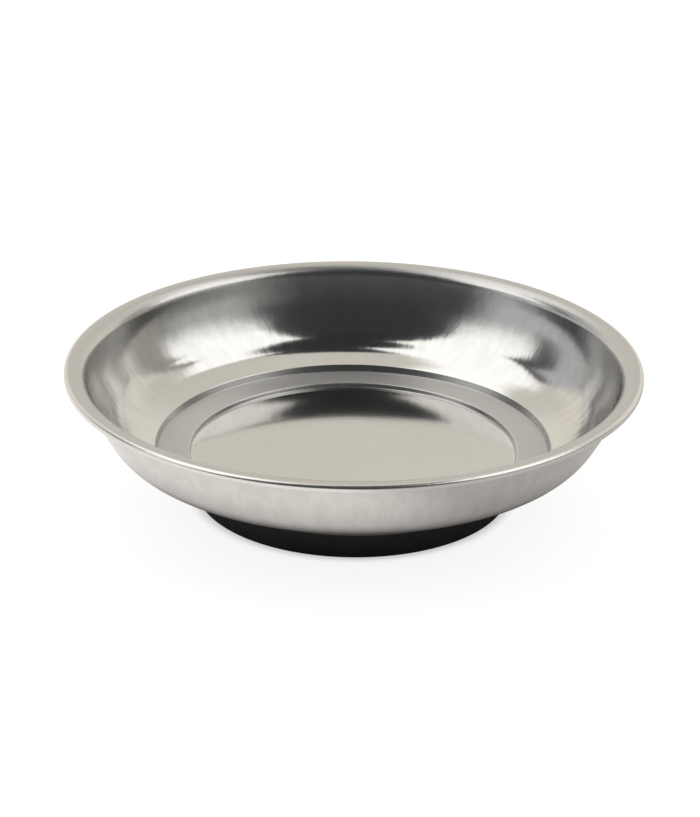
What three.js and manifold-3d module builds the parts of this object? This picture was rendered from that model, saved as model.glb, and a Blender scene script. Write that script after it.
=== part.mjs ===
// Magnetic parts tray: a pressed stainless dish on a rubber-booted ring magnet.
// Millimetres, +Z up. The origin is on the axis, in the plane that the boot stands on.
import * as THREE from 'three';
import { mergeVertices } from 'three/addons/utils/BufferGeometryUtils.js';
import Module from 'manifold-3d';

const wasm = await Module();
wasm.setup();

// Overall size
const HEIGHT = 35.7;
const RIM_RADIUS = 75;
const SHEET = 0.65;

// Dish, measured on the surface that holds the parts, heights down from the rim
const SKIRT_DROP = 1.5;
const WALL_TOP_RADIUS = 70;
const UPPER_WALL_LEAN = THREE.MathUtils.degToRad(13);
const LOWER_WALL_LEAN = THREE.MathUtils.degToRad(30);
const WALL_BOW_DROP = 7.5;
const OUTER_STEP_RADIUS = 51.8;
const OUTER_STEP_DROP = 22.2;
const RING_SLOPE = THREE.MathUtils.degToRad(17);
const LAND_DROP = 23.9;
const INNER_STEP_RADIUS = 43;
const FLOOR_DROP = 25;
const OUTER_STEP_LEAN = 0.8;
const INNER_STEP_LEAN = 0.45;

// Bend radii of the dish, on the same surface
const WALL_BOW = 30;
const WALL_FOOT_BEND = 13;
const STEP_BEND = 0.3;
const RIM_INNER_BEND = 3.4;
const RIM_OUTER_BEND = 0.9;

// Rubber boot
const BOOT_RADIUS = 41;
const BOOT_WALL = 2.2;
const BOOT_FLOOR = 1.8;
const BOOT_EDGE = 0.25;
const BOOT_HOLE_RADIUS = 13;
const GROOVE_RADII = [21, 27, 33];
const GROOVE_WIDTH = 1.4;
const GROOVE_DEPTH = 0.6;

// Magnet and the plate that clamps it
const MAGNET_RADIUS = 37.5;
const MAGNET_HOLE_RADIUS = 16;
const MAGNET_HEIGHT = 6;
const MAGNET_CHAMFER = 0.5;
const PLATE_SHEET = 1.2;
const PLATE_RADIUS = 35;
const CROWN_RADIUS = 15.4;
const CROWN_LEAN = 1.2;
const PLATE_BEND = 1.8;

// M4 stud, nut and washers
const STUD_RADIUS = 2;
const STUD_PAD_RADIUS = 4;
const STUD_PAD_HEIGHT = 0.7;
const STUD_END = 1.2;
const STUD_CHAMFER = 0.4;
const HOLE_CLEARANCE = 0.25;
const THREAD_CLEARANCE = 0.1;
const SPACER_RADIUS = 7;
const WASHER_RADIUS = 4.5;
const WASHER_HEIGHT = 0.8;
const SPRING_RADIUS = 3.8;
const SPRING_HEIGHT = 0.9;
const SPRING_SLIT = THREE.MathUtils.degToRad(14);
const NUT_ACROSS_FLATS = 7;
const NUT_HEIGHT = 3.2;
const NUT_CHAMFER = 0.35;

// Pieces that touch keep this gap
const GAP = 0.05;

// Heights of the stack, from the bench up
const DISH_UNDERSIDE = HEIGHT - FLOOR_DROP - SHEET;
const PLATE_BOTTOM = BOOT_FLOOR + GAP;
const MAGNET_BOTTOM = PLATE_BOTTOM + PLATE_SHEET + GAP;
const MAGNET_TOP = MAGNET_BOTTOM + MAGNET_HEIGHT;
const NUT_BOTTOM = BOOT_FLOOR + 0.15;
const SPRING_BOTTOM = NUT_BOTTOM + NUT_HEIGHT + GAP;
const WASHER_BOTTOM = SPRING_BOTTOM + SPRING_HEIGHT + GAP;
const CROWN_BOTTOM = WASHER_BOTTOM + WASHER_HEIGHT + GAP;
const CROWN_TOP = CROWN_BOTTOM + PLATE_SHEET;

const SEGMENTS = 64;
const SMALL_SEGMENTS = 32;

const steel = new THREE.MeshStandardMaterial({ color: 0xc9c7c2, metalness: 1, roughness: 0.25 });
const zinc = new THREE.MeshStandardMaterial({ color: 0xb4b6ba, metalness: 1, roughness: 0.4 });
const rubber = new THREE.MeshStandardMaterial({ color: 0x161617, metalness: 0, roughness: 0.85 });
const ferrite = new THREE.MeshStandardMaterial({ color: 0x33322f, metalness: 0, roughness: 0.7 });
const foam = new THREE.MeshStandardMaterial({ color: 0x2a2a2c, metalness: 0, roughness: 0.95 });
const fibre = new THREE.MeshStandardMaterial({ color: 0x8a3a2a, metalness: 0, roughness: 0.8 });

const tray = new THREE.Group();

function add(name, geometry, material) {
  const mesh = new THREE.Mesh(geometry, material);
  mesh.name = name;
  tray.add(mesh);
}

// A profile is a list of corners { r, z, bend }: radius from the axis, height and bend radius.
function corner(r, z, bend = 0) {
  return { r, z, bend };
}

// Moves a profile sideways by a distance, to the right of the way it runs.
function offsetProfile(corners, distance) {
  const sides = corners.slice(1).map((b, i) => {
    const a = corners[i];
    const along = new THREE.Vector2(b.r - a.r, b.z - a.z).normalize();
    const shift = new THREE.Vector2(along.y, -along.x).multiplyScalar(distance);
    const start = new THREE.Vector2(a.r, a.z).add(shift);
    const end = new THREE.Vector2(b.r, b.z).add(shift);
    return { along, start, end };
  });
  const moved = [corner(sides[0].start.x, sides[0].start.y)];
  for (let i = 1; i < sides.length; i += 1) {
    const before = sides[i - 1];
    const after = sides[i];
    const turn = before.along.cross(after.along);
    const reach = new THREE.Vector2().subVectors(after.start, before.start).cross(after.along) / turn;
    const meet = before.start.clone().addScaledVector(before.along, reach);
    moved.push(corner(meet.x, meet.y, corners[i].bend + Math.sign(turn) * distance));
  }
  const last = sides[sides.length - 1].end;
  moved.push(corner(last.x, last.y));
  return moved;
}

// Turns corners into points, with each bend as an arc in steps of at most stepAngle.
function roundedPoints(corners, stepAngle) {
  const points = [];
  corners.forEach((here, i) => {
    const at = new THREE.Vector2(here.r, here.z);
    if (i === 0 || i === corners.length - 1 || here.bend <= 0) {
      points.push(at);
      return;
    }
    const back = new THREE.Vector2(corners[i - 1].r, corners[i - 1].z).sub(at).normalize();
    const ahead = new THREE.Vector2(corners[i + 1].r, corners[i + 1].z).sub(at).normalize();
    const inside = Math.acos(THREE.MathUtils.clamp(back.dot(ahead), -1, 1));
    const centre = at.clone().add(back.clone().add(ahead).normalize()
      .multiplyScalar(here.bend / Math.sin(inside / 2)));
    const from = at.clone().addScaledVector(back, here.bend / Math.tan(inside / 2)).sub(centre);
    const turn = (Math.PI - inside) * Math.sign(from.cross(ahead));
    const steps = Math.max(2, Math.ceil(Math.abs(turn) / stepAngle));
    for (let k = 0; k <= steps; k += 1) {
      points.push(from.clone().rotateAround(new THREE.Vector2(), turn * k / steps).add(centre));
    }
  });
  return points;
}

// Turns a closed outline about +Z. The outline runs anticlockwise, with r to the right and z up.
function turned(points, segments) {
  const geometry = new THREE.LatheGeometry(points, segments);
  geometry.rotateX(Math.PI / 2);
  return geometry;
}

// A sheet-metal profile from the upper surface's corners, closed round its thickness.
function turnedSheet(corners, thickness, stepAngle, segments) {
  const upper = roundedPoints(corners, stepAngle);
  const lower = roundedPoints(offsetProfile(corners, thickness), stepAngle);
  const outline = [...lower, ...upper.reverse()];
  if (corners[0].r > 0) {
    outline.push(lower[0].clone());
  }
  return turned(outline, segments);
}

// A ring of rectangular section, with an optional chamfer on all four edges.
function ring(inner, outer, bottom, top, chamfer, segments) {
  const outline = [
    [inner + chamfer, bottom], [outer - chamfer, bottom], [outer, bottom + chamfer], [outer, top - chamfer],
    [outer - chamfer, top], [inner + chamfer, top], [inner, top - chamfer], [inner, bottom + chamfer],
    [inner + chamfer, bottom],
  ].map(([r, z]) => new THREE.Vector2(r, z));
  const distinct = outline.filter((point, i) => i === 0 || !point.equals(outline[i - 1]));
  return turned(distinct, segments);
}

function toManifold(geometry) {
  const bare = geometry.clone();
  bare.deleteAttribute('normal');
  bare.deleteAttribute('uv');
  const merged = mergeVertices(bare, 1e-4);
  const vertProperties = new Float32Array(merged.attributes.position.array);
  const triVerts = new Uint32Array(merged.index.array);
  return new wasm.Manifold(new wasm.Mesh({ numProp: 3, vertProperties, triVerts }));
}

function toGeometry(solid) {
  const { vertProperties, triVerts } = solid.getMesh();
  const geometry = new THREE.BufferGeometry();
  geometry.setAttribute('position', new THREE.BufferAttribute(vertProperties, 3));
  geometry.setIndex(new THREE.BufferAttribute(triVerts, 1));
  geometry.computeVertexNormals();
  return geometry;
}

function dish() {
  // The wall bows outward: its upper part is steeper, and a long arc joins it to the lower part.
  // The lower part and the sloping ring meet in the wide bend at the foot of the wall.
  const bowRadius = WALL_TOP_RADIUS - WALL_BOW_DROP * Math.tan(UPPER_WALL_LEAN);
  const straightRun = (OUTER_STEP_DROP - WALL_BOW_DROP) * Math.tan(LOWER_WALL_LEAN);
  const ringWidth = (bowRadius - OUTER_STEP_RADIUS - straightRun)
    / (1 - Math.tan(RING_SLOPE) * Math.tan(LOWER_WALL_LEAN));
  const footDrop = OUTER_STEP_DROP - ringWidth * Math.tan(RING_SLOPE);
  const corners = [
    corner(0, HEIGHT - FLOOR_DROP),
    corner(INNER_STEP_RADIUS - INNER_STEP_LEAN, HEIGHT - FLOOR_DROP, STEP_BEND),
    corner(INNER_STEP_RADIUS, HEIGHT - LAND_DROP, STEP_BEND),
    corner(OUTER_STEP_RADIUS - OUTER_STEP_LEAN, HEIGHT - LAND_DROP, STEP_BEND),
    corner(OUTER_STEP_RADIUS, HEIGHT - OUTER_STEP_DROP, STEP_BEND),
    corner(OUTER_STEP_RADIUS + ringWidth, HEIGHT - footDrop, WALL_FOOT_BEND),
    corner(bowRadius, HEIGHT - WALL_BOW_DROP, WALL_BOW),
    corner(WALL_TOP_RADIUS, HEIGHT, RIM_INNER_BEND),
    corner(RIM_RADIUS, HEIGHT, RIM_OUTER_BEND),
    corner(RIM_RADIUS, HEIGHT - SKIRT_DROP),
  ];
  return turnedSheet(corners, SHEET, THREE.MathUtils.degToRad(30), SEGMENTS);
}

function rubberBoot() {
  const top = DISH_UNDERSIDE - GAP;
  const corners = [corner(BOOT_HOLE_RADIUS, 0)];
  for (const radius of GROOVE_RADII) {
    corners.push(corner(radius - GROOVE_WIDTH / 2, 0));
    corners.push(corner(radius - GROOVE_WIDTH / 4, GROOVE_DEPTH));
    corners.push(corner(radius + GROOVE_WIDTH / 4, GROOVE_DEPTH));
    corners.push(corner(radius + GROOVE_WIDTH / 2, 0));
  }
  corners.push(corner(BOOT_RADIUS, 0, BOOT_EDGE));
  corners.push(corner(BOOT_RADIUS, top, BOOT_EDGE));
  corners.push(corner(BOOT_RADIUS - BOOT_WALL, top));
  corners.push(corner(BOOT_RADIUS - BOOT_WALL, BOOT_FLOOR));
  corners.push(corner(BOOT_HOLE_RADIUS, BOOT_FLOOR));
  corners.push(corner(BOOT_HOLE_RADIUS, 0));
  return turned(roundedPoints(corners, THREE.MathUtils.degToRad(30)), SEGMENTS);
}

function foamRing() {
  return ring(MAGNET_HOLE_RADIUS, MAGNET_RADIUS - 1, MAGNET_TOP + GAP, DISH_UNDERSIDE - GAP, 0, SEGMENTS);
}

function ringMagnet() {
  return ring(MAGNET_HOLE_RADIUS, MAGNET_RADIUS, MAGNET_BOTTOM, MAGNET_TOP, MAGNET_CHAMFER, SEGMENTS);
}

function clampPlate() {
  const lip = PLATE_BOTTOM + PLATE_SHEET;
  const corners = [
    corner(STUD_RADIUS + HOLE_CLEARANCE, CROWN_TOP),
    corner(CROWN_RADIUS - CROWN_LEAN, CROWN_TOP, PLATE_BEND),
    corner(CROWN_RADIUS, lip, PLATE_BEND / 3),
    corner(PLATE_RADIUS, lip),
  ];
  return turnedSheet(corners, PLATE_SHEET, THREE.MathUtils.degToRad(30), SEGMENTS);
}

function spacerWasher() {
  return ring(STUD_PAD_RADIUS + HOLE_CLEARANCE, SPACER_RADIUS, CROWN_TOP + GAP, DISH_UNDERSIDE - GAP, 0,
    SMALL_SEGMENTS);
}

function weldStud() {
  const top = DISH_UNDERSIDE - GAP;
  const outline = [
    [0, STUD_END], [STUD_RADIUS - STUD_CHAMFER, STUD_END], [STUD_RADIUS, STUD_END + STUD_CHAMFER],
    [STUD_RADIUS, top - STUD_PAD_HEIGHT], [STUD_PAD_RADIUS, top - STUD_PAD_HEIGHT],
    [STUD_PAD_RADIUS, top], [0, top],
  ].map(([r, z]) => new THREE.Vector2(r, z));
  return turned(outline, SMALL_SEGMENTS);
}

function flatWasher() {
  return ring(STUD_RADIUS + HOLE_CLEARANCE, WASHER_RADIUS, WASHER_BOTTOM, WASHER_BOTTOM + WASHER_HEIGHT, 0,
    SMALL_SEGMENTS);
}

// Wound flat when tightened, so it is a plain ring with its slit
function springWasher() {
  const shape = new THREE.Shape();
  shape.absarc(0, 0, SPRING_RADIUS, SPRING_SLIT / 2, Math.PI * 2 - SPRING_SLIT / 2, false);
  shape.absarc(0, 0, STUD_RADIUS + HOLE_CLEARANCE, Math.PI * 2 - SPRING_SLIT / 2, SPRING_SLIT / 2, true);
  const options = { depth: SPRING_HEIGHT, bevelEnabled: false, curveSegments: 24 };
  const geometry = new THREE.ExtrudeGeometry(shape, options);
  geometry.translate(0, 0, SPRING_BOTTOM);
  return geometry;
}

// A hexagonal bar cut by a turned blank, which gives the rounded corners of a real nut
function hexNut() {
  const cornerRadius = NUT_ACROSS_FLATS / Math.sqrt(3);
  const hexagon = new THREE.Shape();
  for (let i = 0; i < 6; i += 1) {
    const angle = Math.PI / 3 * i;
    const [x, y] = [cornerRadius * Math.cos(angle), cornerRadius * Math.sin(angle)];
    if (i === 0) {
      hexagon.moveTo(x, y);
    } else {
      hexagon.lineTo(x, y);
    }
  }
  const bar = new THREE.ExtrudeGeometry(hexagon, { depth: NUT_HEIGHT + 2, bevelEnabled: false });
  bar.translate(0, 0, NUT_BOTTOM - 1);
  const bore = STUD_RADIUS + THREAD_CLEARANCE;
  const blank = ring(bore, cornerRadius + NUT_CHAMFER / 2, NUT_BOTTOM, NUT_BOTTOM + NUT_HEIGHT, NUT_CHAMFER,
    SMALL_SEGMENTS);
  return toGeometry(toManifold(bar).intersect(toManifold(blank)));
}

add('dish', dish(), steel);
add('weld_stud', weldStud(), zinc);
add('foam_ring', foamRing(), foam);
add('ring_magnet', ringMagnet(), ferrite);
add('clamp_plate', clampPlate(), zinc);
add('spacer_washer', spacerWasher(), fibre);
add('flat_washer', flatWasher(), zinc);
add('spring_washer', springWasher(), zinc);
add('hex_nut', hexNut(), zinc);
add('rubber_boot', rubberBoot(), rubber);

export default tray;
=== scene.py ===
"""Looks of the magnetic parts tray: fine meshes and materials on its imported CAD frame."""
import math

import bmesh
import bpy
from mathutils import Matrix, Vector, noise


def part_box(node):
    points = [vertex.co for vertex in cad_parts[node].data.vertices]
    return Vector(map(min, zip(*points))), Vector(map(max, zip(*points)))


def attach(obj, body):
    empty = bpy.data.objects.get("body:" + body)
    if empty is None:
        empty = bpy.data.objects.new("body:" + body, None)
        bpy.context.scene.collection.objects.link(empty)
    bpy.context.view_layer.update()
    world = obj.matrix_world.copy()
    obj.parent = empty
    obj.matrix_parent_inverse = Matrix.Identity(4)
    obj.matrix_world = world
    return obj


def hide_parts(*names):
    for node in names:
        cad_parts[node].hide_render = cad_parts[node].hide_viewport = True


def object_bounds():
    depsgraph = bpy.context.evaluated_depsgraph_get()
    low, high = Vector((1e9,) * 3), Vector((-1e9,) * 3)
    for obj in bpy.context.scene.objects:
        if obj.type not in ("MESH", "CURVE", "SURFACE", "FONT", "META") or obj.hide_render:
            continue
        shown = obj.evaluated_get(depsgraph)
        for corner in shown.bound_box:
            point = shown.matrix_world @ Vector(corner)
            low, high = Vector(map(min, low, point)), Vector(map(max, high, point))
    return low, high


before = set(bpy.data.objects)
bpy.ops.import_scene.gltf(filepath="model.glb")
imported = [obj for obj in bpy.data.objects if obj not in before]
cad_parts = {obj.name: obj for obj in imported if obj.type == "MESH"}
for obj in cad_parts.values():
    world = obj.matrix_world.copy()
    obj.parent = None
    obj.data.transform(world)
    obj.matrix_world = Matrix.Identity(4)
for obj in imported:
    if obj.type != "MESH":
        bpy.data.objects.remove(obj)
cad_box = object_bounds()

MM = 0.001
STEP_ANGLE = math.radians(6)
SHARP_ANGLE = math.radians(32)

# Dish, in millimetres, on the surface that holds the parts; drops are down from the rim
SHEET = 0.65
SKIRT_DROP = 1.5
WALL_TOP_RADIUS = 70
UPPER_WALL_LEAN = math.radians(13)
LOWER_WALL_LEAN = math.radians(30)
WALL_BOW_DROP = 7.5
OUTER_STEP_RADIUS = 51.8
OUTER_STEP_DROP = 22.2
RING_SLOPE = math.radians(17)
LAND_DROP = 23.9
INNER_STEP_RADIUS = 43
FLOOR_DROP = 25
OUTER_STEP_LEAN = 0.8
INNER_STEP_LEAN = 0.45
WALL_BOW = 30
WALL_FOOT_BEND = 13
STEP_BEND = 0.3
RIM_INNER_BEND = 3.4
RIM_OUTER_BEND = 0.9

# Rubber boot
BOOT_WALL = 2.2
BOOT_FLOOR = 1.8
BOOT_EDGE = 0.25
BOOT_HOLE_RADIUS = 13
BOOT_HOLE_BEND = 0.4
BOOT_LIP_BEND = 0.3
BOOT_INNER_BEND = 0.5
GROOVE_RADII = (21, 27, 33)
GROOVE_WIDTH = 1.4
GROOVE_DEPTH = 0.6
GROOVE_BEND = 0.15

# Magnet and foam
MAGNET_HOLE_RADIUS = 16
MAGNET_CHAMFER = 0.5
FOAM_EDGE = 0.06

# Clamp plate
PLATE_SHEET = 1.2
CROWN_RADIUS = 15.4
CROWN_LEAN = 1.2
PLATE_BEND = 1.8

# M4 fasteners
STUD_RADIUS = 2
STUD_PAD_HEIGHT = 0.7
STUD_PAD_EDGE = 0.15
STUD_CHAMFER = 0.5
THREAD_PITCH = 0.7
THREAD_DEPTH = 0.42
HOLE_RADIUS = 2.25
SPACER_HOLE_RADIUS = 4.25
WASHER_EDGE = 0.08
NUT_BORE_RADIUS = 2.1
NUT_CHAMFER_SLOPE = math.tan(math.radians(30))
NUT_FACE_SHARE = 0.97
SPRING_SLIT = math.radians(14)
SPRING_RISE = 0.06

# Uneven pressing: waves in the sheet, which fade out toward the rim
SHEET_WAVE = 0.04
WAVE_SCALE = 46
WAVE_END_RADIUS = 69
WAVE_FADE = 6
WAVE_LEAN = 0.7

# The pressed floor is very slightly hollow: half its curvature, per metre
FLOOR_DISHING = 0.5

# Camera: where it looks from and how long its lens is
CAMERA_DISTANCE = 800
CAMERA_ELEVATION = math.radians(23.72)
CAMERA_ROLL = math.radians(0.61)
CAMERA_LENS = 135.1
SENSOR = 36
AIM_SIDE = -0.88
AIM_DROP = 12.68


def node_box(node):
    """Lowest and highest corner of a CAD node, in millimetres."""
    low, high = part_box(node)
    return low / MM, high / MM


def corner(radius, height, bend=0.0):
    return (radius, height, bend)


def offset_profile(corners, distance):
    """Moves a profile sideways, to the right of the way it runs."""
    sides = []
    for a, b in zip(corners, corners[1:]):
        start = Vector(a[:2])
        end = Vector(b[:2])
        along = (end - start).normalized()
        shift = Vector((along.y, -along.x)) * distance
        sides.append((along, start + shift, end + shift))
    moved = [corner(*sides[0][1])]
    for before, after, here in zip(sides, sides[1:], corners[1:]):
        turn = before[0].cross(after[0])
        reach = (after[1] - before[1]).cross(after[0]) / turn
        meet = before[1] + before[0] * reach
        moved.append(corner(meet.x, meet.y, here[2] + math.copysign(distance, turn)))
    moved.append(corner(*sides[-1][2]))
    return moved


def rounded(corners, step_angle=STEP_ANGLE, longest=2.5):
    """Points along a profile: arcs at its bends, and straight sides cut into short steps."""
    points = []
    for i, (radius, height, bend) in enumerate(corners):
        at = Vector((radius, height))
        if i in (0, len(corners) - 1) or bend <= 0:
            points.append(at)
            continue
        back = (Vector(corners[i - 1][:2]) - at).normalized()
        ahead = (Vector(corners[i + 1][:2]) - at).normalized()
        inside = back.angle(ahead)
        centre = at + (back + ahead).normalized() * (bend / math.sin(inside / 2))
        arm = at + back * (bend / math.tan(inside / 2)) - centre
        turn = math.copysign(math.pi - inside, arm.cross(ahead))
        steps = max(2, math.ceil(abs(turn) / step_angle))
        for k in range(steps + 1):
            angle = turn * k / steps
            cos, sin = math.cos(angle), math.sin(angle)
            points.append(centre + Vector((cos * arm.x - sin * arm.y, sin * arm.x + cos * arm.y)))
    dense = [points[0]]
    for point in points[1:]:
        gap = (point - dense[-1]).length
        pieces = max(1, math.ceil(gap / longest))
        start = dense[-1]
        dense += [start.lerp(point, (k + 1) / pieces) for k in range(pieces)]
    return dense


def finish_mesh(name, bm):
    """Turns a bmesh into a smooth piece with crisp edges where its faces meet sharply."""
    bmesh.ops.recalc_face_normals(bm, faces=bm.faces)
    mesh = bpy.data.meshes.new(name)
    bm.to_mesh(mesh)
    bm.free()
    mesh.shade_smooth()
    mesh.set_sharp_from_angle(angle=SHARP_ANGLE)
    piece = bpy.data.objects.new(name, mesh)
    bpy.context.scene.collection.objects.link(piece)
    return piece


def turned(name, outline, segments, wave=0.0):
    """A body turned about +Z from an outline that closes on itself or on the axis."""
    bm = bmesh.new()
    rows = []
    for point in outline:
        if point.x < 1e-6:
            rows.append([bm.verts.new((0, 0, point.y * MM))])
            continue
        row = []
        for k in range(segments):
            angle = math.tau * k / segments
            side = Vector((math.cos(angle), math.sin(angle), 0))
            row.append(bm.verts.new((side * point.x + Vector((0, 0, point.y))) * MM))
        rows.append(row)
    closed = len(rows[0]) > 1
    pairs = list(zip(rows, rows[1:]))
    if closed:
        pairs.append((rows[-1], rows[0]))
    for first, second in pairs:
        if len(first) == 1 and len(second) == 1:
            continue
        for k in range(segments):
            n = (k + 1) % segments
            near = [first[k % len(first)], first[n % len(first)]]
            far = [second[n % len(second)], second[k % len(second)]]
            bm.faces.new(list(dict.fromkeys(near + far)))
    if wave:
        ripple(bm, wave)
    return finish_mesh(name, bm)


def ripple(bm, height):
    """Slight unevenness of pressed sheet: both skins move together, and the rim's outline stays."""
    for vert in bm.verts:
        radius = math.hypot(vert.co.x, vert.co.y)
        if radius < 1e-6:
            continue
        reach = max(0.0, min(1.0, (WAVE_END_RADIUS * MM - radius) / (WAVE_FADE * MM)))
        place = Vector((vert.co.x, vert.co.y, vert.co.z * 0.6))
        lift = noise.noise(place * WAVE_SCALE) * height * MM * reach
        vert.co.z += lift * WAVE_LEAN
        vert.co.x -= vert.co.x / radius * lift * WAVE_LEAN
        vert.co.y -= vert.co.y / radius * lift * WAVE_LEAN


def sheet_outline(corners, thickness):
    """A sheet's closed outline, from the corners of its upper surface."""
    upper = rounded(corners)
    lower = rounded(offset_profile(corners, thickness))
    return lower + upper[::-1]


def ring_outline(inner, outer, bottom, top, chamfer):
    """A ring of rectangular section with small chamfers on its four edges."""
    return [Vector(point) for point in (
        (inner + chamfer, bottom), (outer - chamfer, bottom),
        (outer, bottom + chamfer), (outer, top - chamfer),
        (outer - chamfer, top), (inner + chamfer, top),
        (inner, top - chamfer), (inner, bottom + chamfer))]


def around(angle, radius, height):
    """A point in metres, from an angle about +Z and a radius and height in millimetres."""
    return Vector((radius * math.cos(angle), radius * math.sin(angle), height)) * MM


def wrapped(name, heights, radius_at, bore, segments):
    """A body whose outer radius depends on angle and height; bore is 0 for a solid one."""
    bm = bmesh.new()
    angles = [math.tau * k / segments for k in range(segments)]
    rows = []
    for height in heights:
        rows.append([bm.verts.new(around(angle, radius_at(angle, height), height)) for angle in angles])
    if bore:
        for height in (heights[-1], heights[0]):
            rows.append([bm.verts.new(around(angle, bore, height)) for angle in angles])
        rows.append(rows[0])
    else:
        bm.faces.new(rows[0])
        bm.faces.new(rows[-1])
    for first, second in zip(rows, rows[1:]):
        for k in range(segments):
            n = (k + 1) % segments
            bm.faces.new((first[k], first[n], second[n], second[k]))
    return finish_mesh(name, bm)


def make_dish():
    """The pressed sheet, with the same corners and bends as its CAD node."""
    rim_radius, _, rim = node_box("dish")[1]
    bow_radius = WALL_TOP_RADIUS - WALL_BOW_DROP * math.tan(UPPER_WALL_LEAN)
    straight_run = (OUTER_STEP_DROP - WALL_BOW_DROP) * math.tan(LOWER_WALL_LEAN)
    ring_width = bow_radius - OUTER_STEP_RADIUS - straight_run
    ring_width /= 1 - math.tan(RING_SLOPE) * math.tan(LOWER_WALL_LEAN)
    foot_drop = OUTER_STEP_DROP - ring_width * math.tan(RING_SLOPE)
    corners = [
        corner(0, rim - FLOOR_DROP),
        corner(INNER_STEP_RADIUS - INNER_STEP_LEAN, rim - FLOOR_DROP, STEP_BEND),
        corner(INNER_STEP_RADIUS, rim - LAND_DROP, STEP_BEND),
        corner(OUTER_STEP_RADIUS - OUTER_STEP_LEAN, rim - LAND_DROP, STEP_BEND),
        corner(OUTER_STEP_RADIUS, rim - OUTER_STEP_DROP, STEP_BEND),
        corner(OUTER_STEP_RADIUS + ring_width, rim - foot_drop, WALL_FOOT_BEND),
        corner(bow_radius, rim - WALL_BOW_DROP, WALL_BOW),
        corner(WALL_TOP_RADIUS, rim, RIM_INNER_BEND),
        corner(rim_radius, rim, RIM_OUTER_BEND),
        corner(rim_radius, rim - SKIRT_DROP),
    ]
    return turned("pressed_dish", sheet_outline(corners, SHEET), 320, wave=SHEET_WAVE)


def make_boot():
    """A cup open at the top, with a centre hole and grip grooves under its floor."""
    low, high = node_box("rubber_boot")
    seam = corner(BOOT_HOLE_RADIUS, low.z + BOOT_FLOOR / 2)
    corners = [seam, corner(BOOT_HOLE_RADIUS, low.z, BOOT_HOLE_BEND)]
    for radius in GROOVE_RADII:
        corners.append(corner(radius - GROOVE_WIDTH / 2, low.z, GROOVE_BEND))
        corners.append(corner(radius - GROOVE_WIDTH / 4, low.z + GROOVE_DEPTH, GROOVE_BEND))
        corners.append(corner(radius + GROOVE_WIDTH / 4, low.z + GROOVE_DEPTH, GROOVE_BEND))
        corners.append(corner(radius + GROOVE_WIDTH / 2, low.z, GROOVE_BEND))
    corners.append(corner(high.x, low.z, BOOT_EDGE))
    corners.append(corner(high.x, high.z, BOOT_EDGE))
    corners.append(corner(high.x - BOOT_WALL, high.z, BOOT_LIP_BEND))
    corners.append(corner(high.x - BOOT_WALL, low.z + BOOT_FLOOR, BOOT_INNER_BEND))
    corners.append(corner(BOOT_HOLE_RADIUS, low.z + BOOT_FLOOR, BOOT_LIP_BEND))
    corners.append(seam)
    return turned("moulded_boot", rounded(corners, math.radians(15))[:-1], 192)


def make_clamp_plate():
    """A disc whose raised crown takes the nut and washers."""
    low, high = node_box("clamp_plate")
    lip = low.z + PLATE_SHEET
    corners = [
        corner(HOLE_RADIUS, high.z),
        corner(CROWN_RADIUS - CROWN_LEAN, high.z, PLATE_BEND),
        corner(CROWN_RADIUS, lip, PLATE_BEND / 3),
        corner(high.x, lip),
    ]
    return turned("stepped_clamp_plate", sheet_outline(corners, PLATE_SHEET), 128)


def make_ring(name, node, inner, chamfer, segments):
    """A ring as high and as wide as its CAD node."""
    low, high = node_box(node)
    return turned(name, ring_outline(inner, high.x, low.z, high.z, chamfer), segments)


def make_stud():
    """Welding pad on top, and an M4 thread with a chamfered end below it."""
    low, high = node_box("weld_stud")
    thread_top = high.z - STUD_PAD_HEIGHT
    steps = math.ceil((thread_top - low.z) / (THREAD_PITCH / 10))
    heights = [low.z + (thread_top - low.z) * k / steps for k in range(steps + 1)]

    def radius_at(angle, height):
        if height > thread_top + 1e-6:
            return high.x - (STUD_PAD_EDGE if height > high.z - 1e-6 else 0.0)
        phase = (height / THREAD_PITCH - angle / math.tau) % 1.0
        flank = min(1.0, abs(phase - 0.5) * 2 * 1.15)
        end = min(1.0, (height - low.z) / STUD_CHAMFER + 0.25)
        return min(STUD_RADIUS - THREAD_DEPTH * flank, STUD_RADIUS - STUD_CHAMFER * (1 - end))

    heights += [thread_top + 1e-4, high.z - STUD_PAD_EDGE, high.z]
    return wrapped("threaded_stud", heights, radius_at, 0, 48)


def make_nut():
    """A hexagon whose corners are cut back by the chamfer cone at both faces."""
    low, high = node_box("hex_nut")
    flats = high.y
    rounds = 24
    heights = [low.z + (high.z - low.z) * (k / rounds) for k in range(rounds + 1)]

    def radius_at(angle, height):
        from_flat = (angle % (math.pi / 3)) - math.pi / 6
        from_face = min(height - low.z, high.z - height)
        return min(flats / math.cos(from_flat), flats * NUT_FACE_SHARE + from_face / NUT_CHAMFER_SLOPE)

    return wrapped("m4_hex_nut", heights, radius_at, NUT_BORE_RADIUS, 144)


def make_spring_washer():
    """A rectangular wire bent into a ring that stops short of closing."""
    low, high = node_box("spring_washer")
    section = ring_outline(HOLE_RADIUS, high.x, low.z, high.z, WASHER_EDGE)
    bm = bmesh.new()
    steps = 96
    rows = []
    for k in range(steps + 1):
        angle = SPRING_SLIT / 2 + (math.tau - SPRING_SLIT) * k / steps
        squeeze = 1 - SPRING_RISE * (1 - k / steps)
        rows.append([bm.verts.new(around(angle, r, low.z + (z - low.z) * squeeze)) for r, z in section])
    for first, second in zip(rows, rows[1:]):
        for k in range(len(section)):
            n = (k + 1) % len(section)
            bm.faces.new((first[k], first[n], second[n], second[k]))
    bm.faces.new(rows[0])
    bm.faces.new(rows[-1])
    return finish_mesh("split_spring_washer", bm)


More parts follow.
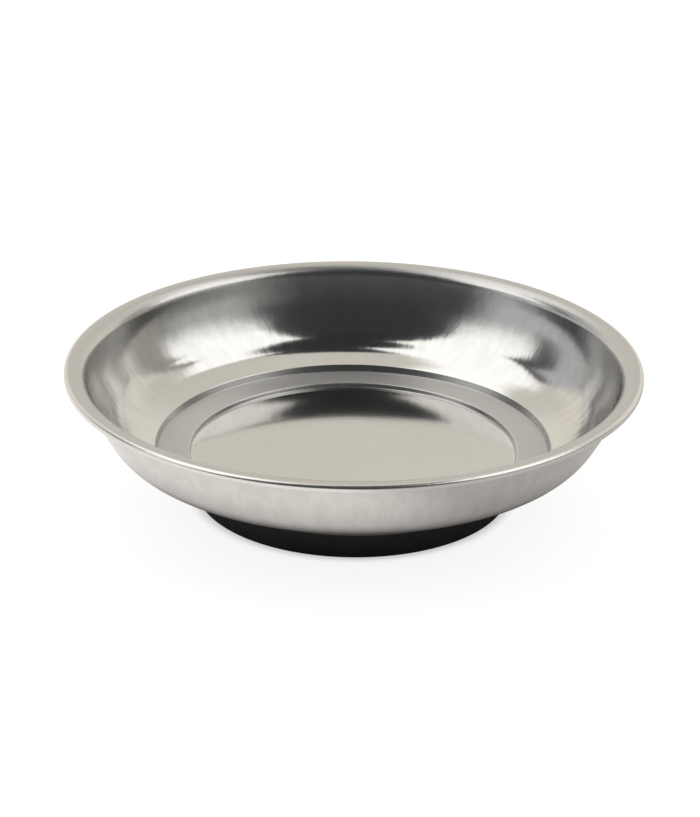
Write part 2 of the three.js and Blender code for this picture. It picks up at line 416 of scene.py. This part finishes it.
class Nodes:
    """Short calls for building a material's node tree."""

    def __init__(self, tree):
        self.tree = tree

    def add(self, kind, **settings):
        node = self.tree.nodes.new(kind)
        for key, value in settings.items():
            setattr(node, key, value)
        return node

    def link(self, source, target):
        self.tree.links.new(source, target)

    def feed(self, socket, value):
        if isinstance(value, bpy.types.NodeSocket):
            self.link(value, socket)
        else:
            socket.default_value = value

    def math(self, operation, a, b=0.0):
        node = self.add("ShaderNodeMath", operation=operation)
        self.feed(node.inputs[0], a)
        self.feed(node.inputs[1], b)
        return node.outputs[0]

    def plus(self, a, b):
        return self.math("ADD", a, b)

    def times(self, a, b):
        return self.math("MULTIPLY", a, b)

    def ramp(self, value, low, high, to_low=0.0, to_high=1.0):
        node = self.add("ShaderNodeMapRange", interpolation_type="SMOOTHSTEP")
        self.feed(node.inputs["Value"], value)
        node.inputs["From Min"].default_value = low
        node.inputs["From Max"].default_value = high
        self.feed(node.inputs["To Min"], to_low)
        self.feed(node.inputs["To Max"], to_high)
        return node.outputs[0]

    def span(self, value, low, high, soft):
        """One between low and high, zero outside, with soft edges."""
        inside = self.ramp(value, low - soft / 2, low + soft / 2)
        outside = self.ramp(value, high - soft / 2, high + soft / 2, 1.0, 0.0)
        return self.times(inside, outside)

    def mix(self, factor, a, b):
        node = self.add("ShaderNodeMix", data_type="RGBA")
        self.feed(node.inputs["Factor"], factor)
        self.feed(node.inputs["A"], a)
        self.feed(node.inputs["B"], b)
        return node.outputs["Result"]

    def blend(self, factor, a, b):
        node = self.add("ShaderNodeMix", data_type="FLOAT")
        self.feed(node.inputs["Factor"], factor)
        self.feed(node.inputs["A"], a)
        self.feed(node.inputs["B"], b)
        return node.outputs["Result"]

    def noise(self, vector, scale, detail=2.0, roughness=0.5):
        node = self.add("ShaderNodeTexNoise")
        self.link(vector, node.inputs["Vector"])
        node.inputs["Scale"].default_value = scale
        node.inputs["Detail"].default_value = detail
        node.inputs["Roughness"].default_value = roughness
        return node.outputs["Fac"]

    def combine(self, x, y, z):
        node = self.add("ShaderNodeCombineXYZ")
        for socket, value in zip(node.inputs, (x, y, z)):
            self.feed(socket, value)
        return node.outputs[0]

    def bump(self, height, strength, distance, normal=None):
        node = self.add("ShaderNodeBump")
        node.inputs["Strength"].default_value = strength
        node.inputs["Distance"].default_value = distance
        self.link(height, node.inputs["Height"])
        if normal is not None:
            self.link(normal, node.inputs["Normal"])
        return node.outputs[0]


def new_material(name):
    """A material with its node helper, its shader, and the surface's place in object space."""
    material = bpy.data.materials.new(name)
    material.use_nodes = True
    nodes = Nodes(material.node_tree)
    shader = material.node_tree.nodes["Principled BSDF"]
    place = nodes.add("ShaderNodeTexCoord").outputs["Object"]
    return material, nodes, shader, place


def round_place(nodes, place):
    """Cosine, sine, radius in metres and height in metres of a surface point about +Z."""
    split = nodes.add("ShaderNodeSeparateXYZ")
    nodes.link(place, split.inputs[0])
    x, y, z = split.outputs
    radius = nodes.math("SQRT", nodes.plus(nodes.times(x, x), nodes.times(y, y)))
    safe = nodes.math("MAXIMUM", radius, 1e-5)
    return nodes.math("DIVIDE", x, safe), nodes.math("DIVIDE", y, safe), radius, z


def stainless():
    """Bright sheet: draw lines run up the wall and faint polishing rings round the floor.

    The land, the two steps and the flange are duller; the steps carry painted shade and the polished outer
    rim edge a painted highlight.
    """
    material, nodes, shader, place = new_material("stainless_sheet")
    cosine, sine, radius, height = round_place(nodes, place)
    foot = (OUTER_STEP_RADIUS + 1.2) * MM
    floor_end = INNER_STEP_RADIUS * MM
    land_end = (OUTER_STEP_RADIUS - 0.9) * MM
    rim_edge = cad_box[1][0]
    wall = nodes.ramp(radius, foot, foot + 7 * MM)
    floor = nodes.ramp(radius, floor_end - 1.2 * MM, floor_end - 0.4 * MM, 1.0, 0.0)
    land = nodes.span(radius, floor_end + 0.1 * MM, land_end, 0.5 * MM)
    inner_step = nodes.span(radius, floor_end - 0.6 * MM, floor_end, 0.2 * MM)
    outer_step = nodes.span(radius, land_end, OUTER_STEP_RADIUS * MM, 0.2 * MM)
    steps = nodes.plus(inner_step, outer_step)
    flange = nodes.ramp(radius, (WALL_TOP_RADIUS - 1) * MM, (WALL_TOP_RADIUS + 1.2) * MM)
    edge = nodes.ramp(radius, rim_edge - 1.2 * MM, rim_edge - 0.6 * MM)

    up_wall = nodes.combine(cosine, sine, nodes.times(height, 4.0))
    draw_lines = nodes.noise(up_wall, 120, 3.0, 0.6)
    up_wall_broad = nodes.combine(cosine, sine, nodes.times(height, 9.0))
    broad_lines = nodes.noise(up_wall_broad, 24, 2.0)
    round_floor = nodes.combine(nodes.times(radius, 900.0), nodes.times(cosine, 0.6), nodes.times(sine, 0.6))
    rings = nodes.noise(round_floor, 1.0, 3.0, 0.6)
    clouds = nodes.noise(place, 42, 3.0, 0.55)
    scuffs = nodes.noise(place, 260, 4.0, 0.7)
    grain = nodes.blend(wall, rings, draw_lines)

    satin = nodes.ramp(radius, 60 * MM, 67 * MM, 0.085, 0.14)
    rough = nodes.plus(nodes.blend(wall, 0.04, satin), nodes.times(clouds, 0.04))
    for amount, part in ((0.02, grain), (0.42, land), (0.2, steps), (0.2, flange), (-0.12, edge)):
        rough = nodes.plus(rough, nodes.times(part, amount))
    nodes.link(rough, shader.inputs["Roughness"])

    sheen = nodes.mix(nodes.ramp(clouds, 0.35, 0.7), (0.655, 0.645, 0.622, 1), (0.70, 0.688, 0.665, 1))
    streaks = nodes.times(nodes.ramp(broad_lines, 0.35, 0.65, 0.0, 0.35), wall)
    sheen = nodes.mix(streaks, sheen, (0.56, 0.545, 0.525, 1))
    sheen = nodes.mix(nodes.times(land, 0.6), sheen, (0.52, 0.51, 0.495, 1))
    # Painted shade: the two steps are painted dark, standing in for the shade lines along them.
    sheen = nodes.mix(nodes.times(steps, 0.4), sheen, (0.30, 0.295, 0.29, 1))
    worn = nodes.times(floor, nodes.ramp(rings, 0.3, 0.7, 0.51, 0.58))
    sheen = nodes.mix(worn, sheen, (0.52, 0.508, 0.487, 1))
    sheen = nodes.mix(flange, sheen, (0.56, 0.547, 0.527, 1))
    # Painted highlight: the polished outer rim edge is also painted lighter, so it shows a bright line.
    nodes.link(nodes.mix(edge, sheen, (0.74, 0.725, 0.70, 1)), shader.inputs["Base Color"])
    shader.inputs["Metallic"].default_value = 1.0

    inner = nodes.math("MINIMUM", radius, floor_end - 2 * MM)
    hollow = nodes.times(nodes.times(inner, inner), FLOOR_DISHING)
    dished = nodes.bump(hollow, 1.0, 1.0)
    soft = nodes.bump(nodes.times(broad_lines, wall), 0.05, 0.0006, dished)
    fine = nodes.bump(nodes.times(grain, nodes.blend(wall, 0.25, 1.0)), 0.07, 0.00012, soft)
    nodes.link(nodes.bump(scuffs, 0.02, 0.00008, fine), shader.inputs["Normal"])
    return material


def zinc_plate():
    material, nodes, shader, place = new_material("zinc_plated_steel")
    clouds = nodes.noise(place, 320, 4.0, 0.6)
    fine = nodes.noise(place, 2600, 3.0, 0.6)
    nodes.link(nodes.mix(nodes.ramp(clouds, 0.35, 0.7), (0.50, 0.51, 0.54, 1), (0.62, 0.62, 0.64, 1)),
               shader.inputs["Base Color"])
    nodes.link(nodes.ramp(clouds, 0.3, 0.75, 0.28, 0.46), shader.inputs["Roughness"])
    shader.inputs["Metallic"].default_value = 1.0
    nodes.link(nodes.bump(fine, 0.12, 0.00006), shader.inputs["Normal"])
    return material


def moulded_rubber():
    """Matt black rubber: a fine moulded grain, faintly greyer where it has been rubbed."""
    material, nodes, shader, place = new_material("black_rubber")
    clouds = nodes.noise(place, 60, 4.0, 0.6)
    grain = nodes.noise(place, 2400, 3.0, 0.6)
    specks = nodes.noise(place, 900, 2.0, 0.5)
    rubbed = nodes.ramp(clouds, 0.4, 0.75)
    black = nodes.mix(rubbed, (0.0075, 0.0085, 0.0088, 1), (0.0150, 0.0160, 0.0165, 1))
    nodes.link(black, shader.inputs["Base Color"])
    nodes.link(nodes.ramp(specks, 0.3, 0.75, 0.56, 0.74), shader.inputs["Roughness"])
    nodes.link(nodes.bump(grain, 0.22, 0.00008), shader.inputs["Normal"])
    return material


def sintered_ferrite():
    material, nodes, shader, place = new_material("sintered_ferrite")
    clouds = nodes.noise(place, 200, 4.0, 0.6)
    pits = nodes.noise(place, 1500, 3.0, 0.7)
    charcoal = nodes.mix(clouds, (0.035, 0.034, 0.032, 1), (0.07, 0.067, 0.062, 1))
    nodes.link(charcoal, shader.inputs["Base Color"])
    nodes.link(nodes.ramp(pits, 0.3, 0.7, 0.5, 0.75), shader.inputs["Roughness"])
    nodes.link(nodes.bump(pits, 0.3, 0.0001), shader.inputs["Normal"])
    return material


def adhesive_foam():
    material, nodes, shader, place = new_material("adhesive_foam")
    cells = nodes.add("ShaderNodeTexVoronoi")
    nodes.link(place, cells.inputs["Vector"])
    cells.inputs["Scale"].default_value = 2600
    nodes.link(nodes.mix(cells.outputs["Distance"], (0.015, 0.015, 0.016, 1), (0.05, 0.05, 0.052, 1)),
               shader.inputs["Base Color"])
    nodes.link(nodes.ramp(cells.outputs["Distance"], 0.1, 0.8, 0.85, 0.97), shader.inputs["Roughness"])
    nodes.link(nodes.bump(cells.outputs["Distance"], 0.5, 0.0001), shader.inputs["Normal"])
    return material


def red_fibre():
    material, nodes, shader, place = new_material("vulcanised_fibre")
    fibres = nodes.noise(place, 1200, 4.0, 0.7)
    red = nodes.mix(fibres, (0.20, 0.045, 0.03, 1), (0.38, 0.10, 0.06, 1))
    nodes.link(red, shader.inputs["Base Color"])
    nodes.link(nodes.ramp(fibres, 0.3, 0.7, 0.6, 0.8), shader.inputs["Roughness"])
    nodes.link(nodes.bump(fibres, 0.3, 0.00006), shader.inputs["Normal"])
    return material


def add_camera():
    """In front of the tray, looking down on it; it leans a little, so the right side sits lower."""
    rim = cad_box[1][2] / MM
    aim = Vector((AIM_SIDE, 0, rim - AIM_DROP))
    back = Vector((0, -math.cos(CAMERA_ELEVATION), math.sin(CAMERA_ELEVATION)))
    camera = bpy.data.objects.new("camera", bpy.data.cameras.new("camera"))
    camera.data.lens = CAMERA_LENS
    camera.data.sensor_width = SENSOR
    camera.data.sensor_fit = "AUTO"
    camera.data.clip_start = 0.01
    camera.data.clip_end = 20
    camera.location = (aim + back * CAMERA_DISTANCE) * MM
    level = (-back).to_track_quat("-Z", "Y").to_matrix().to_4x4()
    turn = level @ Matrix.Rotation(CAMERA_ROLL, 4, "Z")
    camera.matrix_world = Matrix.Translation(camera.location) @ turn
    bpy.context.scene.collection.objects.link(camera)
    bpy.context.scene.camera = camera


def add_world():
    """A studio all round: dark on the camera's side and overhead, lit at both sides, pale walls behind.

    Directions are in degrees. Turn is 0 toward -Y and grows to the right, and rise is 0 at the horizon.
    """
    world = bpy.data.worlds.new("studio")
    world.use_nodes = True
    bpy.context.scene.world = world
    nodes = Nodes(world.node_tree)
    background = world.node_tree.nodes["Background"]
    way = nodes.add("ShaderNodeTexCoord").outputs["Generated"]
    split = nodes.add("ShaderNodeSeparateXYZ")
    nodes.link(way, split.inputs[0])
    x, y, z = split.outputs
    turn = nodes.times(nodes.math("ARCTAN2", x, nodes.times(y, -1.0)), 180 / math.pi)
    rise = nodes.times(nodes.math("ARCSINE", z), 180 / math.pi)

    def panel(turn_low, turn_high, rise_low, rise_high, soft):
        across = nodes.span(turn, turn_low, turn_high, soft)
        return nodes.times(across, nodes.span(rise, rise_low, rise_high, soft))

    walls = nodes.plus(nodes.ramp(turn, 114, 124), nodes.ramp(turn, -136, -124, 1.0, 0.0))
    walls = nodes.times(walls, nodes.ramp(rise, 61, 65, 1.0, 0.0))
    # The lamps' lower edges slant: they sink as they run back
    slant = nodes.times(nodes.math("ABSOLUTE", turn), 0.3)
    above = nodes.ramp(nodes.plus(rise, slant), 46, 51)
    right = nodes.times(panel(46, 100, 10, 68, 5), above)
    right_side = panel(94, 109, 34, 60, 5)
    right_top = panel(98, 148, 48, 67, 5)
    left = panel(-168, -53, 42.5, 77, 5)
    left_low = nodes.times(panel(-95, -53, 10, 46, 5), above)
    lamps = right
    for lamp in (right_side, right_top, left, left_low):
        lamps = nodes.math("MAXIMUM", lamps, lamp)
    low_left = nodes.times(nodes.ramp(turn, -70, -50, 1.0, 0.0), nodes.ramp(rise, 30, 42, 1.0, 0.0))
    low_right = nodes.times(nodes.ramp(turn, 22, 50), nodes.ramp(rise, 20, 32, 1.0, 0.0))
    bright_right = nodes.times(nodes.span(turn, 50, 92, 12), nodes.span(rise, 10, 30, 8))
    gap = nodes.times(nodes.ramp(turn, 92, 102), nodes.ramp(rise, 44, 52, 1.0, 0.0))
    gap_left = nodes.times(nodes.span(turn, -110, -92, 6), nodes.span(rise, 15, 41, 6))
    dim = nodes.mix(nodes.ramp(rise, 12, 36), (0.074, 0.077, 0.080, 1), (0.044, 0.048, 0.054, 1))
    dim = nodes.mix(nodes.ramp(rise, 56, 66), dim, (0.038, 0.040, 0.042, 1))
    dim = nodes.mix(low_left, dim, (0.60, 0.605, 0.625, 1))
    dim = nodes.mix(low_right, dim, (0.29, 0.29, 0.285, 1))
    dim = nodes.mix(bright_right, dim, (0.52, 0.52, 0.51, 1))
    dim = nodes.mix(gap, dim, (0.42, 0.405, 0.375, 1))
    dim = nodes.mix(gap_left, dim, (0.09, 0.093, 0.10, 1))
    pale = nodes.mix(nodes.ramp(rise, 27, 37), (0.91, 0.87, 0.79, 1), (0.80, 0.765, 0.70, 1))
    lit = nodes.mix(lamps, nodes.mix(walls, dim, pale), (1.52, 1.52, 1.5, 1))
    nodes.link(lit, background.inputs["Color"])
    background.inputs["Strength"].default_value = 1.0


def add_floor():
    """A plain pale floor and a soft lamp above it.

    Seen straight, the floor is nearly shadowless but for a thin painted contact shadow; the steel mirrors
    its painted shaded side.
    """
    bm = bmesh.new()
    bmesh.ops.create_grid(bm, x_segments=8, y_segments=8, size=4)
    mesh = bpy.data.meshes.new("floor")
    bm.to_mesh(mesh)
    bm.free()
    floor = bpy.data.objects.new("floor", mesh)
    floor.location.z = cad_box[0][2]
    bpy.context.scene.collection.objects.link(floor)
    material, nodes, shader, place = new_material("pale_floor")
    split = nodes.add("ShaderNodeSeparateXYZ")
    nodes.link(place, split.inputs[0])
    radius = round_place(nodes, place)[2]
    # Painted shade in the floor's glow, as the steel mirrors it: dim under the tray and dimmer toward +X.
    shaded = nodes.ramp(radius, 0.044, 0.076, 0.06, 0.80)
    mirrored = nodes.times(shaded, nodes.ramp(split.outputs["X"], -0.01, 0.05, 1.0, 0.50))
    # Seen straight, the glow dips into a thin painted contact shadow round the boot.
    seen = nodes.ramp(radius, 0.0400, 0.0445, 0.50, 0.88)
    direct = nodes.add("ShaderNodeLightPath").outputs["Is Camera Ray"]
    shader.inputs["Base Color"].default_value = (0.26, 0.255, 0.26, 1)
    tint = nodes.mix(direct, (1, 0.962, 0.928, 1), (1, 0.995, 0.99, 1))
    nodes.link(tint, shader.inputs["Emission Color"])
    nodes.link(nodes.blend(direct, mirrored, seen), shader.inputs["Emission Strength"])
    shader.inputs["Roughness"].default_value = 0.9
    shader.inputs["Specular IOR Level"].default_value = 0.0
    mesh.materials.append(material)
    lamp = bpy.data.lights.new("overhead", "AREA")
    lamp.shape = "DISK"
    lamp.size = 1.6
    lamp.energy = 3
    lamp.color = (1.0, 0.995, 0.99)
    fixture = bpy.data.objects.new("overhead", lamp)
    fixture.location = (0, 0, 1.3)
    fixture.visible_glossy = False
    bpy.context.scene.collection.objects.link(fixture)


add_camera()
add_world()
add_floor()

steel = stainless()
zinc = zinc_plate()
PIECES = [
    (make_dish(), "dish", "stainless", steel),
    (make_boot(), "rubber_boot", "rubber", moulded_rubber()),
    (make_ring("magnet_ring", "ring_magnet", MAGNET_HOLE_RADIUS, MAGNET_CHAMFER, 128),
     "ring_magnet", "ferrite", sintered_ferrite()),
    (make_ring("foam_pad", "foam_ring", MAGNET_HOLE_RADIUS, FOAM_EDGE, 96),
     "foam_ring", "foam", adhesive_foam()),
    (make_clamp_plate(), "clamp_plate", "zinc_steel", zinc),
    (make_stud(), "weld_stud", "zinc_steel", zinc),
    (make_ring("fibre_spacer", "spacer_washer", SPACER_HOLE_RADIUS, WASHER_EDGE, 64),
     "spacer_washer", "fibre", red_fibre()),
    (make_ring("plain_washer", "flat_washer", HOLE_RADIUS, WASHER_EDGE, 64),
     "flat_washer", "zinc_steel", zinc),
    (make_spring_washer(), "spring_washer", "zinc_steel", zinc),
    (make_nut(), "hex_nut", "zinc_steel", zinc),
]
for piece, node, slot, material in PIECES:
    piece.data.materials.append(material)
    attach(piece, "root")
    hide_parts(node)

bpy.context.scene.view_settings.view_transform = "Standard"
